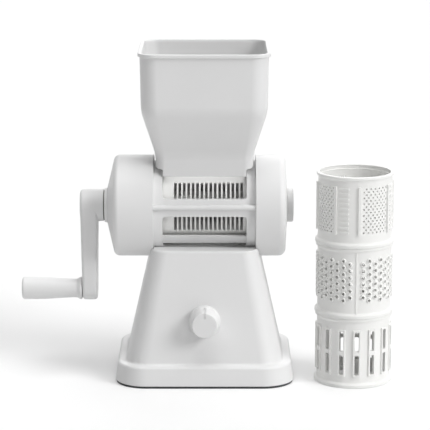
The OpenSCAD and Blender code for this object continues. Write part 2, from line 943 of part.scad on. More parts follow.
// Fan of wedges for cuts that run part of the way round, each wedge span degrees wide
module fan(starts, span) {
    reach = 1.2 * flange_r;
    for (start = starts)
        rotate(start)
            polygon(concat([[0, 0]], [for (i = [0:4]) reach * [cos(span * i / 4), sin(span * i / 4)]]));
}

// Comb of rings through the drum wall, each ring h high, at the listed heights
module comb(heights, h) {
    rotate_extrude()
        for (z = heights)
            translate([drum_bore_r - drum_wall, z])
                square([3 * drum_wall, h]);
}

// Pairs of rows of narrow slots, cut where a comb of rings crosses a fan of wedges
module slicing_drum() {
    slicing_len = slicing_collar + slicing_row + slicing_tail;
    pitch = (slicing_row - slicing_slot_w) / (slicing_slots - 1);
    pair = 360 / slicing_pairs;
    row_span = 36.5;
    row_step = 45;
    first_row = 221;
    color(drum_white)
        on_drum_seat()
            difference() {
                tube(drum_r, drum_bore_r, slicing_len);
                intersection() {
                    comb([for (i = [0:slicing_slots - 1]) slicing_collar + i * pitch], slicing_slot_w);
                    linear_extrude(slicing_len)
                        fan([
                            for (i = [0:slicing_pairs - 1])
                                for (row = [0, 1])
                                    first_row + i * pair + row * row_step
                        ], row_span);
                }
            }
}

module slicing_drum_hub() {
    on_drum_seat()
        drum_hub();
}

module wide_slot_drum() {
    step = 360 / wide_columns;
    first = -88;
    margin = 12.5;
    bridge = 3.6;
    tier_h = (drum_len - 2 * margin - bridge) / 2;
    lip_w = 1.4;
    lip_h = 1.5;
    lip_len = drum_len - 2 * (margin - lip_w);
    tier_pitch = tier_h + bridge;
    slot_round = 1.2;
    color(drum_white)
        on_stack(0)
            difference() {
                union() {
                    drum_blank();
                    for (i = [0:wide_columns - 1])
                        rotate([0, 0, first + i * step])
                            translate([drum_r - 1, -wide_slot_w / 2 - lip_w, margin - lip_w])
                                cube([1 + lip_h, wide_slot_w + 2 * lip_w, lip_len]);
                }
                for (i = [0:wide_columns - 1])
                    for (tier = [0, 1])
                        on_wall(first + i * step, margin + tier * tier_pitch + tier_h / 2)
                            translate([0, 0, -2 * drum_wall])
                                linear_extrude(3 * drum_wall + lip_h)
                                    rounded_rect(tier_h, wide_slot_w, slot_round);
            }
}

module wide_slot_drum_hub() {
    on_stack(0)
        drum_hub();
}

// Places children on the drum wall, with their Z axis outwards, at angle a and height z
module on_wall(a, z) {
    rotate([0, 0, a])
        translate([drum_r, 0, z])
            rotate([0, 90, 0])
                children();
}

// Staggered columns of burred holes, parted by one upright seam at the front
module coarse_grating_drum() {
    step = 360 / coarse_columns;
    front = -90;
    rows = 7;
    low_margin = 17.2;
    high_margin = 12;
    pitch = (drum_len - low_margin - high_margin) / (rows - 1);
    seam_w = 1.2;
    seam_h = 0.6;
    tooth_r1 = coarse_hole_r + 1.2;
    tooth_r2 = coarse_hole_r + 0.4;
    tooth_sunk = 0.6;
    color(drum_white)
        on_stack(1)
            difference() {
                union() {
                    drum_blank();
                    rotate([0, 0, front])
                        translate([drum_r - 1, -seam_w / 2, rim_h])
                            cube([1 + seam_h, seam_w, drum_len - 2 * rim_h]);
                    for (i = [1:coarse_columns - 1])
                        for (k = [0:rows - 1 - i % 2])
                            on_wall(front + i * step, low_margin + (k + (i % 2) / 2) * pitch)
                                translate([0, 0, -tooth_sunk])
                                    cylinder(r1 = tooth_r1, r2 = tooth_r2, h = coarse_tooth_h + tooth_sunk);
                }
                for (i = [1:coarse_columns - 1])
                    for (k = [0:rows - 1 - i % 2])
                        on_wall(front + i * step, low_margin + (k + (i % 2) / 2) * pitch)
                            translate([0, 0, -2 * drum_wall])
                                cylinder(r = coarse_hole_r, h = 3 * drum_wall + coarse_tooth_h);
            }
}

module coarse_grating_drum_hub() {
    on_stack(1)
        drum_hub();
}

// Wide panels of fine square holes and narrow panels of rasp ridges, parted by upright bars
module fine_grating_drum() {
    first = -86.5;
    panels = 4;
    panel = 360 / panels;
    second_bar = 52;
    columns = 12;
    column_step = 3.7;
    column_start = 6.9;
    ridge_front = drum_r - 1;
    rows = 8;
    ridges = 10;
    ridge_at = 66;
    low_margin = 14.5;
    high_margin = 11.2;
    panel_h = drum_len - low_margin - high_margin;
    row_pitch = panel_h / (rows - 0.5);
    ridge_pitch = panel_h / (ridges - 1);
    bar_w = 2.6;
    bar_h = 1.8;
    bar_over = 2;
    ridge_w = 9;
    ridge_t = 1.6;
    ridge_h = 0.9;
    ridge_low = low_margin - ridge_t / 2;
    hole_span = 2 * asin(fine_hole_r / drum_r);
    color(drum_white)
        on_stack(2)
            difference() {
                union() {
                    drum_blank();
                    for (q = [0:panels - 1]) {
                        for (a = [0, second_bar])
                            rotate([0, 0, first + q * panel + a])
                                translate([ridge_front, -bar_w / 2, low_margin - bar_over])
                                    cube([1 + bar_h, bar_w, panel_h + 2 * bar_over]);
                        for (k = [0:ridges - 1])
                            rotate([0, 0, first + q * panel + ridge_at])
                                translate([ridge_front, -ridge_w / 2, ridge_low + k * ridge_pitch])
                                    cube([1 + ridge_h, ridge_w, ridge_t]);
                    }
                }
                for (odd = [0, 1])
                    intersection() {
                        comb([for (k = [0:rows - 1]) low_margin + (k + odd / 2) * row_pitch - fine_hole_r],
                            2 * fine_hole_r);
                        linear_extrude(drum_len)
                            fan([
                                for (q = [0:panels - 1])
                                    for (i = [odd:2:columns - 1])
                                        first + q * panel + column_start + i * column_step - hole_span / 2
                            ], hole_span);
                    }
            }
}

module fine_grating_drum_hub() {
    on_stack(2)
        drum_hub();
}

// Grip

module grip_pin() {
    color(steel_grey) {
        on_grip(-grip_end + grip_pocket - head_t)
            cylinder(r = pin_head_r, h = head_t);
        on_grip(-grip_end + grip_pocket)
            cylinder(r = grip_pin_r, h = grip_end - grip_pocket - pin_shoulder);
        on_grip(-pin_shoulder)
            cylinder(r = pin_tail_r, h = pin_tail);
    }
}

module crank_grip() {
    waist = grip_r - 1.7;
    end_round = 2.4;
    edge = 0.8;
    flare_at = 1.4;
    waist_at = 5.6;
    swell_at = 0.75 * grip_len;
    color(body_white)
        difference() {
            on_grip(0)
                rotate_extrude()
                    polygon(concat(
                        [[0, -grip_start], [grip_r - edge, -grip_start], [grip_r, -grip_start - edge]],
                        [for (i = [0:6])
                            let (share = i / 6)
                            [waist + (grip_r - waist) * (1 + cos(180 * share)) / 2,
                                -grip_start - flare_at - (waist_at - flare_at) * share]],
                        [for (i = [1:10])
                            let (share = i / 10)
                            [waist + (grip_r - waist) * (1 - cos(180 * share)) / 2,
                                -grip_start - waist_at - (swell_at - waist_at) * share]],
                        arc(grip_r - end_round, -grip_end + end_round, end_round, 0, -90),
                        [[0, -grip_end]]
                    ));
            on_grip(-grip_end - eps)
                cylinder(r = grip_pin_r + run_gap, h = grip_len + 2 * eps);
            on_grip(-grip_end - eps)
                cylinder(r = pin_head_r + fit_gap, h = grip_pocket + fit_gap + eps);
        }
}

module grip_plug() {
    color(body_white)
        on_grip(-grip_end)
            cylinder(r = pin_head_r + fit_gap - press_gap, h = plug_t);
}

// Hopper

// Funnel whose skirt is saddled on the cage and whose throat stands in the cage's upper opening
module hopper() {
    lip_rise = 33;
    skirt_rise = 39.7;
    lip_z = axis_z + lip_rise;
    skirt_z = axis_z + skirt_rise;
    throat_h = skirt_z + eps - lip_z;
    throat_half = window_len / 2 - seat_gap;
    throat_wall = 2;
    throat_r = 2;
    throat_gap = 0.8;
    throat_back = neck_d / 2 - hopper_wall - seat_gap;
    throat_in_w = 2 * (throat_half - throat_wall);
    throat_in_d = neck_d - 2 * hopper_wall;
    mouth_w = neck_w + neck_flare;
    mouth_d = neck_d + neck_flare;
    lip = 0.6;
    rim_z = hopper_top_z - hopper_rim_h;
    rim_w = hopper_w + hopper_draft;
    rim_d = hopper_d + hopper_draft;
    rim_out = -hopper_rim;
    color(body_white)
        difference() {
            union() {
                difference() {
                    union() {
                        loft([
                            ring(neck_w, neck_d, neck_r, skirt_z),
                            ring(mouth_w, mouth_d, neck_r, hopper_neck_z),
                            ring(hopper_w, hopper_d, hopper_r, hopper_break_z),
                            ring(rim_w, rim_d, hopper_r, rim_z),
                            inset_ring(rim_w, rim_d, hopper_r, rim_out, rim_z + hopper_rim / 2),
                            inset_ring(rim_w, rim_d, hopper_r, rim_out, hopper_top_z - lip),
                            inset_ring(rim_w, rim_d, hopper_r, rim_out + lip, hopper_top_z)
                        ]);
                        translate([-throat_half, throat_back, lip_z - 2])
                            cube([2 * throat_half, neck_d / 2 - throat_back, throat_h + 2]);
                    }
                    on_axis(-cage_len)
                        cylinder(r = saddle_r, h = 2 * cage_len);
                }
                difference() {
                    translate([-throat_half, -neck_d / 2, lip_z])
                        cube([2 * throat_half, neck_d / 2 + throat_back, throat_h]);
                    on_axis(-cage_len)
                        cylinder(r = cage_bore_r - throat_gap, h = 2 * cage_len);
                }
            }
            loft([
                ring(throat_in_w, throat_in_d, throat_r, axis_z),
                ring(throat_in_w, throat_in_d, throat_r, skirt_z),
                inset_ring(mouth_w, mouth_d, neck_r, hopper_wall, hopper_neck_z),
                inset_ring(hopper_w, hopper_d, hopper_r, hopper_wall, hopper_break_z),
                inset_ring(rim_w, rim_d, hopper_r, hopper_wall, hopper_top_z + eps)
            ]);
        }
}

// Suction lock

module suction_knob() {
    mark_w = 1.6;
    mark_depth = 0.8;
    mark_len = 5;
    edge = 1;
    foot_t = 0.8;
    cone_len = knob_len - 2 * edge - foot_t;
    cone_angle = atan((knob_r - edge - knob_face_r) / cone_len);
    color(body_white)
        difference() {
            on_knob(knob_front)
                rotate_extrude()
                    polygon(concat(
                        [[0, 0]],
                        [for (i = [0:4])
                            [knob_face_r - edge + edge * sin(i * 22.5), edge - edge * cos(i * 22.5)]],
                        [[knob_r - edge, cone_len], [knob_r, cone_len + edge],
                            [knob_r, knob_len], [0, knob_len]]
                    ));
            translate([-mark_w / 2, knob_front - eps, knob_z + knob_face_r - mark_len])
                cube([mark_w, mark_depth + eps, mark_len + eps]);
            translate([-mark_w / 2, knob_front - eps, knob_z + knob_face_r - mark_depth])
                rotate([cone_angle, 0, 0])
                    cube([mark_w, cone_len, mark_len]);
            on_knob(knob_front + knob_web)
                cylinder(r = knob_shaft_r + run_gap, h = knob_len);
        }
}

module knob_shaft() {
    shaft_front = knob_front + knob_web + fit_gap;
    color(steel_grey)
        on_knob(shaft_front)
            cylinder(r = knob_shaft_r, h = bracket_y + bracket_t - shaft_front);
}

// Radius of the snail cam at angle a, seen from the front; it rises over the quarter turn past the top
function cam_radius(a) =
    a < 90 ? cam_r
    : a <= 180 ? cam_r + cam_lift * (a - 90) / 90
    : a <= 270 ? cam_r + cam_lift * (1 + cos(2 * (a - 180))) / 2
    : cam_r;

module suction_cam() {
    color(bush_cream)
        difference() {
            translate([0, cam_t / 2, knob_z])
                rotate([90, 0, 0])
                    linear_extrude(cam_t)
                        polygon([for (a = [0:6:354]) cam_radius(a) * [cos(a), sin(a)]]);
            on_knob(-cam_t)
                cylinder(r = knob_shaft_r + run_gap, h = 2 * cam_t);
        }
}

// Rod from the pad up to a yoke that rides on the cam
module suction_stem() {
    low = yoke_in_low - yoke_bar;
    high = yoke_in_top + yoke_bar;
    socket = pad_h / 2;
    color(bush_cream)
        difference() {
            union() {
                translate([0, 0, socket])
                    cylinder(r = stem_r, h = low - socket + 1);
                translate([-yoke_half - yoke_bar, -yoke_t / 2, low])
                    cube([2 * (yoke_half + yoke_bar), yoke_t, high - low]);
            }
            translate([-yoke_half, -yoke_t, yoke_in_low])
                cube([2 * yoke_half, 2 * yoke_t, yoke_in_top - yoke_in_low]);
        }
}

base_shell();
base_plate();
base_screws();
foot_ring();
suction_pad();
cam_bracket();
knob_bush();
housing_cage();
housing_screws();
drive_cover();
cover_screws();
inner_bush();
outer_bush();
crank_arm();
crank_screw();
thrust_washer();
drive_shaft();
drive_cup();
drive_pin();
slicing_drum();
slicing_drum_hub();
grip_pin();
crank_grip();
grip_plug();
end_cap();
end_cap_bush();
hopper();
suction_knob();
knob_shaft();
suction_cam();
suction_stem();
wide_slot_drum();
wide_slot_drum_hub();
coarse_grating_drum();
coarse_grating_drum_hub();
fine_grating_drum();
fine_grating_drum_hub();
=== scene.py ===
import math

import bmesh
import bpy
from mathutils import Matrix, Vector


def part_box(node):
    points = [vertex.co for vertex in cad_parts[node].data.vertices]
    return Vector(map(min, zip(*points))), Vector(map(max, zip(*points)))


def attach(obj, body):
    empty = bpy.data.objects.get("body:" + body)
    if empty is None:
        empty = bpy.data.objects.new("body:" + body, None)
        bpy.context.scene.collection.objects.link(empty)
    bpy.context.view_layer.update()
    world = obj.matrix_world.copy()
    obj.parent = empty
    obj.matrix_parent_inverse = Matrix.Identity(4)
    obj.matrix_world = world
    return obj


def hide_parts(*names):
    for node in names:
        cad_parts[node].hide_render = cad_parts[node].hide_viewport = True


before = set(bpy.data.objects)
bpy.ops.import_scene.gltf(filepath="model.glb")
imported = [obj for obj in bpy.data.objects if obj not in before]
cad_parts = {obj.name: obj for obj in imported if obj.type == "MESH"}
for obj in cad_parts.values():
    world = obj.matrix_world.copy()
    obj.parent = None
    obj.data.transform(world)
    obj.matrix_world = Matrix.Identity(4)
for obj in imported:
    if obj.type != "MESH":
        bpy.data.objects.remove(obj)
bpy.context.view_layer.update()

bl_info = {
    "name": "Rotary vegetable slicer finish",
    "version": (1, 0, 0),
    "blender": (4, 5, 0),
    "location": "3D View > Sidebar > Slicer",
    "description": "Gives the packed slicer its moulded plastics, steel, rubber and studio stage",
    "category": "Object",
}

MM = 0.001

BODY = (
    "base_shell", "base_plate", "cam_bracket", "housing_cage", "drive_cover", "end_cap",
    "crank_arm", "crank_grip", "grip_plug", "hopper", "suction_knob",
)
DRUMS = (
    "slicing_drum", "slicing_drum_hub", "drive_cup",
    "wide_slot_drum", "wide_slot_drum_hub",
    "coarse_grating_drum", "coarse_grating_drum_hub",
    "fine_grating_drum", "fine_grating_drum_hub",
)
BEARINGS = ("knob_bush", "inner_bush", "outer_bush", "end_cap_bush", "suction_cam", "suction_stem")
METALWORK = (
    "base_screws", "housing_screws", "cover_screws", "crank_screw",
    "drive_shaft", "drive_pin", "grip_pin", "knob_shaft",
)
# The thrust washer is painted dark as painted shade for the gap between the crank hub and the cover
PAINTED_SHADE_STEEL = ("thrust_washer",)
# The foot ring's dark rubber also stands in for the contact shadow under the plinth: painted shade
RUBBER_AND_SHADE_RING = ("foot_ring", "suction_pad")

# Sizes that the mouldings share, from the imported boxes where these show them
AXIS_Z = sum(corner.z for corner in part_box("drive_shaft")) / 2
CAGE_END = -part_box("drive_cover")[1].x
COVER_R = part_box("drive_cover")[1].z - AXIS_Z
COVER_STEP = 5.5 * MM
SEAT_GAP = 0.3 * MM
SADDLE_R = COVER_R - COVER_STEP + SEAT_GAP

# Segments of the housing's round cuts, of a bore and of a screw post
HOUSING_SEGMENTS = 192
BORE_SEGMENTS = 64
POST_SEGMENTS = 32
# How far a cutting shape runs past the face that it opens
CUT_PAST = 1 * MM
WHITE = (1.0, 1.0, 1.0, 1.0)
# The camera takes its sensor and lens in millimetres
SENSOR_WIDTH = 36.0


def linear(hex_code):
    """Linear RGBA of an sRGB hex colour."""
    channels = [int(hex_code[i:i + 2], 16) / 255 for i in (1, 3, 5)]
    return tuple(c / 12.92 if c <= 0.04045 else ((c + 0.055) / 1.055) ** 2.4 for c in channels) + (1.0,)


def add_node(tree, kind, settings=None, links=None):
    """Adds a node, sets its attributes and sockets by name or number, and links sources to them."""
    node = tree.nodes.new(kind)
    for key, value in (settings or {}).items():
        if isinstance(key, int) or key in node.inputs:
            node.inputs[key].default_value = value
        else:
            setattr(node, key, value)
    for key, source in (links or {}).items():
        tree.links.new(source, node.inputs[key])
    return node


def new_material(name):
    """An empty node material: the material, its node tree and its output node."""
    material = bpy.data.materials.new(name)
    material.use_nodes = True
    material.node_tree.nodes.clear()
    return material, material.node_tree, add_node(material.node_tree, "ShaderNodeOutputMaterial")


def moulded_plastic(name, colour, roughness, grain, edge):
    """Injection-moulded plastic: faint tone drift from the melt's flow, a spark-eroded grain that breaks up
    the gloss, and a painted highlight that lightens the colour along every edge."""
    flow_width, smear_width, grain_depth = 55 * MM, 9 * MM, 0.06 * MM
    # The second colour is screened onto the edges as a painted highlight
    flow_shade, painted_edge_highlight = 0.955, linear("#2a2a2a")
    polish, dulling = 0.05, 0.07
    material, tree, output = new_material(name)
    place = add_node(tree, "ShaderNodeTexCoord").outputs["Object"]
    drift = add_node(
        tree, "ShaderNodeTexNoise", {"Scale": 1 / flow_width, "Detail": 3.0, "Roughness": 0.5},
        {"Vector": place})
    smears = add_node(
        tree, "ShaderNodeTexNoise", {"Scale": 1 / smear_width, "Detail": 4.0, "Roughness": 0.6},
        {"Vector": place})
    # The real grain is about 0.3 mm; it is drawn coarser so that it shows in the render
    grit = add_node(tree, "ShaderNodeTexNoise", {"Scale": 1 / grain, "Detail": 2.0}, {"Vector": place})
    rounded = add_node(tree, "ShaderNodeBevel", {"samples": 4, "Radius": edge})
    face = add_node(tree, "ShaderNodeNewGeometry").outputs["Normal"]
    # The rounded normal leaves the face's own only near an edge, which marks where the painted edge
    # highlight goes
    agree = add_node(
        tree, "ShaderNodeVectorMath", {"operation": "DOT_PRODUCT"},
        {0: rounded.outputs["Normal"], 1: face})
    painted_highlight_mask = add_node(
        tree, "ShaderNodeMapRange", {"From Min": 0.97, "From Max": 0.75},
        {"Value": agree.outputs["Value"]})
    shaded = tuple(flow_shade * c for c in colour[:3]) + (1.0,)
    tone = add_node(
        tree, "ShaderNodeMix", {"data_type": "RGBA", 6: shaded, 7: colour}, {0: drift.outputs["Fac"]})
    # Painted highlight: the base colour is screened lighter along every edge
    highlighted_tone = add_node(
        tree, "ShaderNodeMix", {"data_type": "RGBA", "blend_type": "SCREEN", 7: painted_edge_highlight},
        {0: painted_highlight_mask.outputs["Result"], 6: tone.outputs[2]})
    gloss = add_node(
        tree, "ShaderNodeMapRange",
        {"From Min": 0.3, "From Max": 0.7, "To Min": roughness - polish, "To Max": roughness + dulling},
        {"Value": smears.outputs["Fac"]})
    bump = add_node(
        tree, "ShaderNodeBump", {"Strength": 0.12, "Distance": grain_depth},
        {"Height": grit.outputs["Fac"], "Normal": rounded.outputs["Normal"]})
    shader = add_node(
        tree, "ShaderNodeBsdfPrincipled", {"IOR": 1.53},
        {"Base Color": highlighted_tone.outputs[2], "Roughness": gloss.outputs["Result"],
         "Normal": bump.outputs["Normal"]})
    tree.links.new(shader.outputs["BSDF"], output.inputs["Surface"])
    return material


def turned_steel(name, colour, stain_colour, roughness):
    """Lathe-turned steel: fine tool marks break up the highlights, and stains shift its tone."""
    # Tool marks are about 0.1 mm apart; they are drawn at 0.5 mm so that they show
    mark_pitch, mark_depth, stain_width, gloss_swing = 0.5 * MM, 0.03 * MM, 6 * MM, 0.08
    material, tree, output = new_material(name)
    place = add_node(tree, "ShaderNodeTexCoord").outputs["Object"]
    marks = add_node(
        tree, "ShaderNodeTexNoise", {"Scale": 1 / mark_pitch, "Detail": 2.0}, {"Vector": place})
    stain = add_node(
        tree, "ShaderNodeTexNoise", {"Scale": 1 / stain_width, "Detail": 3.0}, {"Vector": place})
    tone = add_node(
        tree, "ShaderNodeMix", {"data_type": "RGBA", 6: colour, 7: stain_colour},
        {0: stain.outputs["Fac"]})
    gloss = add_node(
        tree, "ShaderNodeMapRange",
        {"To Min": roughness - gloss_swing, "To Max": roughness + gloss_swing},
        {"Value": marks.outputs["Fac"]})
    bump = add_node(
        tree, "ShaderNodeBump", {"Strength": 0.15, "Distance": mark_depth},
        {"Height": marks.outputs["Fac"]})
    shader = add_node(
        tree, "ShaderNodeBsdfPrincipled", {"Metallic": 1.0},
        {"Base Color": tone.outputs[2], "Roughness": gloss.outputs["Result"],
         "Normal": bump.outputs["Normal"]})
    tree.links.new(shader.outputs["BSDF"], output.inputs["Surface"])
    return material


def moulded_rubber(name, colour):
    """Compression-moulded rubber: matt and dark, with a dusty bloom in patches."""
    # The mould leaves pores of about 0.2 mm; they are drawn at 0.8 mm so that they show
    bloom_width, pore_width, pore_depth = 14 * MM, 0.8 * MM, 0.08 * MM
    bloom_colour = linear("#4b4d4f")
    material, tree, output = new_material(name)
    place = add_node(tree, "ShaderNodeTexCoord").outputs["Object"]
    bloom = add_node(
        tree, "ShaderNodeTexNoise", {"Scale": 1 / bloom_width, "Detail": 5.0, "Roughness": 0.65},
        {"Vector": place})
    pores = add_node(
        tree, "ShaderNodeTexNoise", {"Scale": 1 / pore_width, "Detail": 2.0}, {"Vector": place})
    tone = add_node(
        tree, "ShaderNodeMix", {"data_type": "RGBA", 6: colour, 7: bloom_colour},
        {0: bloom.outputs["Fac"]})
    bump = add_node(
        tree, "ShaderNodeBump", {"Strength": 0.2, "Distance": pore_depth},
        {"Height": pores.outputs["Fac"]})
    shader = add_node(
        tree, "ShaderNodeBsdfPrincipled", {"IOR": 1.52, "Roughness": 0.72},
        {"Base Color": tone.outputs[2], "Normal": bump.outputs["Normal"]})
    tree.links.new(shader.outputs["BSDF"], output.inputs["Surface"])
    return material


def seen_rays(tree):
    """1 for camera, glossy and transmission rays, which show a surface or the world as it is."""
    rays = add_node(tree, "ShaderNodeLightPath").outputs
    seen = add_node(
        tree, "ShaderNodeMath", {"operation": "MAXIMUM"},
        {0: rays["Is Camera Ray"], 1: rays["Is Glossy Ray"]})
    return add_node(
        tree, "ShaderNodeMath", {"operation": "MAXIMUM"},
        {0: seen.outputs["Value"], 1: rays["Is Transmission Ray"]}).outputs["Value"]


def studio_paper(name, colour, lift):
    """Matt paper: the lift takes lit paper to white for the camera and keeps the shadows on it."""
    fibre_len, fibre_depth = 4 * MM, 0.05 * MM
    material, tree, output = new_material(name)
    place = add_node(tree, "ShaderNodeTexCoord").outputs["Object"]
    fibres = add_node(
        tree, "ShaderNodeTexNoise", {"Scale": 1 / fibre_len, "Detail": 3.0}, {"Vector": place})
    bump = add_node(
        tree, "ShaderNodeBump", {"Strength": 0.03, "Distance": fibre_depth},
        {"Height": fibres.outputs["Fac"]})
    lifted = add_node(tree, "ShaderNodeMath", {"operation": "MULTIPLY", 1: lift}, {0: seen_rays(tree)})
    shader = add_node(
        tree, "ShaderNodeBsdfPrincipled",
        {"Base Color": colour, "Roughness": 0.9, "Specular IOR Level": 0.0, "Emission Color": WHITE},
        {"Normal": bump.outputs["Normal"], "Emission Strength": lifted.outputs["Value"]})
    tree.links.new(shader.outputs["BSDF"], output.inputs["Surface"])
    return material


def quarter_turn(steps):
    """Angles of a quarter turn in equal steps."""
    return [math.radians(90 * i / steps) for i in range(steps + 1)]


def rounded_ring(w, d, r, z, steps=16):
    """Points of a rounded rectangle at height z."""
    points = []
    for quarter, (side_x, side_y) in enumerate(((1, 1), (-1, 1), (-1, -1), (1, -1))):
        for i in range(steps + 1):
            a = math.radians(90 * (quarter + i / steps))
            x = side_x * (w / 2 - r) + r * math.cos(a)
            y = side_y * (d / 2 - r) + r * math.sin(a)
            points.append(Vector((x, y, z)))
    return points


def drawn_in(outline, inset, z):
    """Ring of an outline (width, depth, corner radius) drawn in by an inset all round."""
    w, d, r = outline
    return rounded_ring(w - 2 * inset, d - 2 * inset, max(r - inset, MM), z)


def round_ring(x, r, steps=48):
    """Points of a circle round the drum axis at station x."""
    return [Vector((x, r * math.cos(a), AXIS_Z + r * math.sin(a)))
            for a in (2 * math.pi * i / steps for i in range(steps))]


def softened(stations, reach, steps=6):
    """Stations (width, depth, radius, height) with inner corners curved over a reach to each side."""
    curve = [stations[0]]
    for before, corner, after in zip(stations, stations[1:], stations[2:]):
        down, up = (reach / abs(end[3] - corner[3]) for end in (before, after))
        start = [c + down * (b - c) for b, c in zip(before, corner)]
        end = [c + up * (a - c) for a, c in zip(after, corner)]
        for i in range(steps + 1):
            t = i / steps
            curve.append([(1 - t) ** 2 * p + 2 * t * (1 - t) * c + t * t * q
                          for p, c, q in zip(start, corner, end)])
    return curve + [stations[-1]]


def new_object(name, shape):
    """Object made from a bmesh, with its faces turned outwards."""
    bmesh.ops.recalc_face_normals(shape, faces=shape.faces)
    mesh = bpy.data.meshes.new(name)
    shape.to_mesh(mesh)
    shape.free()
    obj = bpy.data.objects.new(name, mesh)
    bpy.context.scene.collection.objects.link(obj)
    return obj


def lofted(name, rings):
    """Closed object through rings of equal point counts."""
    shape = bmesh.new()
    rows = [[shape.verts.new(p) for p in ring] for ring in rings]
    count = len(rows[0])
    shape.faces.new(rows[0])
    shape.faces.new(rows[-1])
    for low, high in zip(rows, rows[1:]):
        for i in range(count):
            j = (i + 1) % count
            shape.faces.new((low[i], low[j], high[j], high[i]))
    return new_object(name, shape)


def rod(name, start, end, radius, segments=96):
    """Capped cylinder between two points."""
    start, end = Vector(start), Vector(end)
    along = end - start
    turn = along.to_track_quat("Z", "Y").to_matrix().to_4x4()
    shape = bmesh.new()
    bmesh.ops.create_cone(
        shape, cap_ends=True, segments=segments, radius1=radius, radius2=radius, depth=along.length,
        matrix=Matrix.Translation((start + end) / 2) @ turn)
    return new_object(name, shape)


def along_drum(name, start, end, radius):
    """Capped cylinder round the drum axis between two stations."""
    return rod(name, (start, 0, AXIS_Z), (end, 0, AXIS_Z), radius, HOUSING_SEGMENTS)


def block(name, low, high):
    """Box between two corners."""
    shape = bmesh.new()
    bmesh.ops.create_cube(shape, size=1.0)
    low, high = Vector(low), Vector(high)
    for vertex in shape.verts:
        vertex.co = [low[i] + (vertex.co[i] + 0.5) * (high[i] - low[i]) for i in range(3)]
    return new_object(name, shape)


def carved(obj, steps):
    """Adds and cuts helper shapes in order, then removes them; a step is (operation, helper)."""
    for operation, helper in steps:
        modifier = obj.modifiers.new(helper.name, "BOOLEAN")
        modifier.operation = operation
        modifier.solver = "EXACT"
        modifier.object = helper
    bpy.context.view_layer.update()
    mesh = bpy.data.meshes.new_from_object(obj.evaluated_get(bpy.context.evaluated_depsgraph_get()))
    obj.modifiers.clear()
    blank = obj.data
    obj.data = mesh
    bpy.data.meshes.remove(blank)
    mesh.name = obj.name
    for _, helper in steps:
        spent = helper.data
        bpy.data.objects.remove(helper)
        bpy.data.meshes.remove(spent)
    if not mesh.polygons:
        raise RuntimeError(obj.name + " was cut away")
    return obj


def smooth_shaded(obj, sharp_degrees=32):
    """Smooth shading up to an angle, with normals weighted towards the flat faces."""
    obj.data.shade_smooth()
    obj.data.set_sharp_from_angle(angle=math.radians(sharp_degrees))
    weighted = obj.modifiers.new("flat_faces", "WEIGHTED_NORMAL")
    weighted.keep_sharp = True
    return obj


def fit(obj, body, node):
    """Puts a finished piece on its body in place of a CAD node."""
    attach(obj, body)
    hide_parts(node)


def dress(nodes, material):
    """Gives CAD nodes and the pieces that stand for them a material."""
    for name in nodes:
        for obj in (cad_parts[name], bpy.data.objects.get(name + "_moulding")):
            if obj:
                obj.data.materials.clear()
                obj.data.materials.append(material)


class SlicerMould(bpy.types.PropertyGroup):
    """Edge roundings of the moulded stand and hopper."""

    plinth_edge: bpy.props.FloatProperty(
        name="Plinth edge", description="Rounding of the plinth's upper edge",
        default=2.5 * MM, min=1 * MM, max=4 * MM, unit="LENGTH")
    foot_edge: bpy.props.FloatProperty(
        name="Foot edge", description="Rounding of the plinth's lower edge",
        default=0.8 * MM, min=0.2 * MM, max=1.5 * MM, unit="LENGTH")
    tower_edge: bpy.props.FloatProperty(
        name="Tower edge", description="Rounding of the tower's upper edge",
        default=2 * MM, min=1 * MM, max=4 * MM, unit="LENGTH")
    rim_edge: bpy.props.FloatProperty(
        name="Rim edge", description="Rounding of the hopper's rim",
        default=0.6 * MM, min=0.2 * MM, max=1 * MM, unit="LENGTH")
    skirt_edge: bpy.props.FloatProperty(
        name="Skirt edge", description="Rounding of the lower corners of the hopper's skirt",
        default=4 * MM, min=1 * MM, max=5 * MM, unit="LENGTH")


class SlicerFinish(bpy.types.PropertyGroup):
    """Colours and gloss of the slicer's materials."""

    body_colour: bpy.props.FloatVectorProperty(
        name="Body colour", description="Colour of the moulded body", default=linear("#e8e8e8"),
        size=4, min=0.0, max=1.0, subtype="COLOR")
    drum_colour: bpy.props.FloatVectorProperty(
        name="Drum colour", description="Colour of the moulded drums", default=linear("#f7f7f5"),
        size=4, min=0.0, max=1.0, subtype="COLOR")
    bearing_colour: bpy.props.FloatVectorProperty(
        name="Bearing colour", description="Colour of the bushes, cam and stem", default=linear("#dbd6c5"),
        size=4, min=0.0, max=1.0, subtype="COLOR")
    steel_colour: bpy.props.FloatVectorProperty(
        name="Steel colour", description="Colour of the shafts, pins and screws", default=linear("#b9bcc0"),
        size=4, min=0.0, max=1.0, subtype="COLOR")
    # Painted shade: the washer's dark colour stands in for the shade in its gap
    washer_shade_colour: bpy.props.FloatVectorProperty(
        name="Washer shade colour", description="Dark colour painted on the thrust washer for the shade in its gap", default=linear("#4a4946"),
        size=4, min=0.0, max=1.0, subtype="COLOR")
    # Painted shade on the foot ring: its dark colour stands in for the contact shadow under the plinth
    rubber_and_shade_colour: bpy.props.FloatVectorProperty(
        name="Rubber and shade line colour", description="Colour of the foot ring and the pad", default=linear("#2a2c2e"),
        size=4, min=0.0, max=1.0, subtype="COLOR")
    body_roughness: bpy.props.FloatProperty(
        name="Body roughness", description="Mean roughness of the moulded body",
        default=0.45, min=0.1, max=0.9, subtype="FACTOR")
    drum_roughness: bpy.props.FloatProperty(
        name="Drum roughness", description="Mean roughness of the moulded drums",
        default=0.42, min=0.1, max=0.9, subtype="FACTOR")
    body_edge: bpy.props.FloatProperty(
        name="Body edge", description="Width of the body's softened edges",
        default=0.7 * MM, min=0.1 * MM, max=2 * MM, unit="LENGTH")
    drum_edge: bpy.props.FloatProperty(
        name="Drum edge", description="Width of the drums' softened edges",
        default=0.3 * MM, min=0.1 * MM, max=1 * MM, unit="LENGTH")


